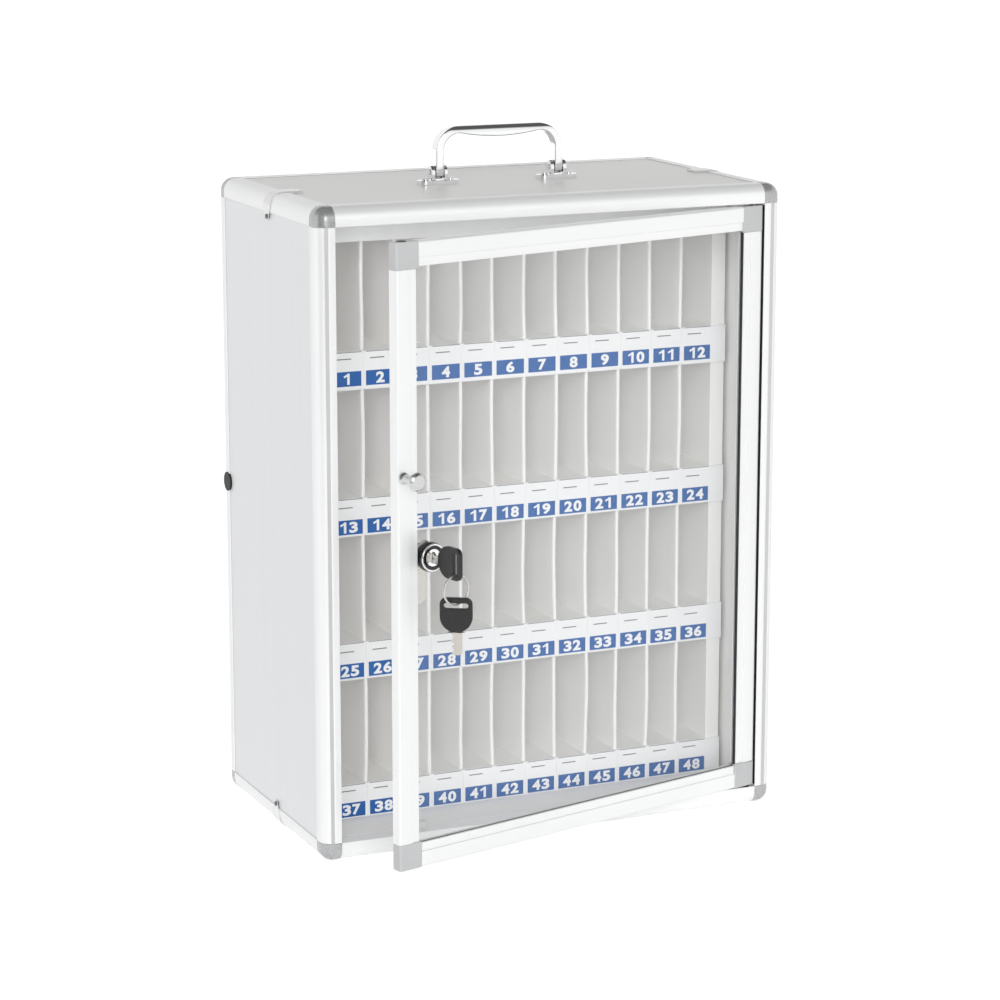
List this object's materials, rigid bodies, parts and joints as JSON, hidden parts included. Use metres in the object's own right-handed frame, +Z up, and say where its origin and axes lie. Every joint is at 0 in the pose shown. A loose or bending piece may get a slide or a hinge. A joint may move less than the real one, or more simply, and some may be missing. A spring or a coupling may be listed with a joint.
{
  "type": "cell phone locker box",
  "caption": "Portable aluminium-edged case with a framed clear locking door, a folding carry handle and an inner rack of numbered upright slots that each hold a handheld device.",
  "frame": {"origin": "middle of the case's footprint, on the surface that it stands on", "axes": "+Z up, the front with the door faces -Y, +X to the right as seen from the front"},
  "size_m": [0.388, 0.3329, 0.5435],
  "materials": {
    "profile_metal": "satin",
    "corner_grey": "satin",
    "panel_white": "satin",
    "board_white": "matte",
    "divider_white": "matte",
    "strip_white": "satin",
    "card_blue": "matte",
    "clip_metal": "satin",
    "rivet_dark": "satin",
    "plug_black": "matte",
    "bush_black": "matte",
    "stop_white": "matte",
    "handle_chrome": "polished",
    "pane_clear": "polished",
    "pin_steel": "satin",
    "lock_black": "gloss",
    "key_black": "satin"
  },
  "bodies": {
    "case": {"profile_front_left": "profile_metal", "profile_front_right": "profile_metal", "profile_front_top": "profile_metal", "profile_front_bottom": "profile_metal", "profile_rear_left": "profile_metal", "profile_rear_right": "profile_metal", "profile_rear_top": "profile_metal", "profile_rear_bottom": "profile_metal", "profile_side_top_left": "profile_metal", "profile_side_top_right": "profile_metal", "profile_side_bottom_left": "profile_metal", "profile_side_bottom_right": "profile_metal", "corner_caps": "corner_grey", "panel_left": "panel_white", "panel_right": "panel_white", "panel_top": "panel_white", "panel_bottom": "panel_white", "panel_back": "panel_white", "lining_left": "board_white", "lining_right": "board_white", "lining_top": "board_white", "lining_bottom": "board_white", "edge_clips": "clip_metal", "clip_rivets": "rivet_dark", "side_port_plug": "plug_black", "hinge_bushes": "bush_black", "door_stops": "stop_white", "rack_sides": "board_white", "rack_back": "board_white", "shelf_1": "board_white", "shelf_2": "board_white", "shelf_3": "board_white", "shelf_4": "board_white", "dividers_row_1": "divider_white", "dividers_row_2": "divider_white", "dividers_row_3": "divider_white", "dividers_row_4": "divider_white", "header_strip": "strip_white", "label_strips": "strip_white", "number_cards": "card_blue", "handle_brackets": "handle_chrome", "handle_screws": "handle_chrome", "handle_pins": "handle_chrome"},
    "handle": {"handle_bail": "handle_chrome"},
    "door": {"door_latch_stile": "profile_metal", "door_hinge_stile": "profile_metal", "door_top_rail": "profile_metal", "door_bottom_rail": "profile_metal", "door_corners": "corner_grey", "door_pane": "pane_clear", "door_pivot_pins": "pin_steel", "door_knob": "handle_chrome", "lock_housing": "lock_black", "lock_nut": "pin_steel"},
    "lock_core": {"lock_plug": "pin_steel", "lock_cam": "pin_steel", "cam_screw": "pin_steel"},
    "key_in_lock": {"key": "key_black"},
    "ring": {"key_ring": "pin_steel"},
    "second_key": {"spare_key": "key_black"}
  },
  "joints": [
    {"name": "door_hinge", "type": "hinge", "parent": "case", "child": "door", "pos_m": [0.17, -0.1055, 0.25], "axis": [0, 0, 1], "range_deg": [-14.2, 90]},
    {"name": "handle_fold", "type": "hinge", "parent": "case", "child": "handle", "pos_m": [0, 0, 0.5085], "axis": [1, 0, 0], "range_deg": [-90, 90]},
    {"name": "lock_turn", "type": "hinge", "parent": "door", "child": "lock_core", "pos_m": [-0.13476, -0.18726, 0.251], "axis": [-0.2453, 0.9694, 0], "range_deg": [0, 90]},
    {"name": "key_withdraw", "type": "slide", "parent": "lock_core", "child": "key_in_lock", "axis": [0.2453, -0.9694, 0], "range_m": [0, 0.035]},
    {"name": "key_ring_level", "type": "hinge", "parent": "key_in_lock", "child": "ring", "pos_m": [-0.1291, -0.21574, 0.241], "axis": [-0.2453, 0.9694, 0], "range_deg": [-90, 0]},
    {"name": "spare_key_swing", "type": "hinge", "parent": "ring", "child": "second_key", "pos_m": [-0.12764, -0.21537, 0.22115], "axis": [0.9694, 0.2453, 0], "range_deg": [-60, 30]}
  ],
  "couplings": [
    {"joint": "key_ring_level", "follows": "lock_turn", "ratio": -1}
  ]
}
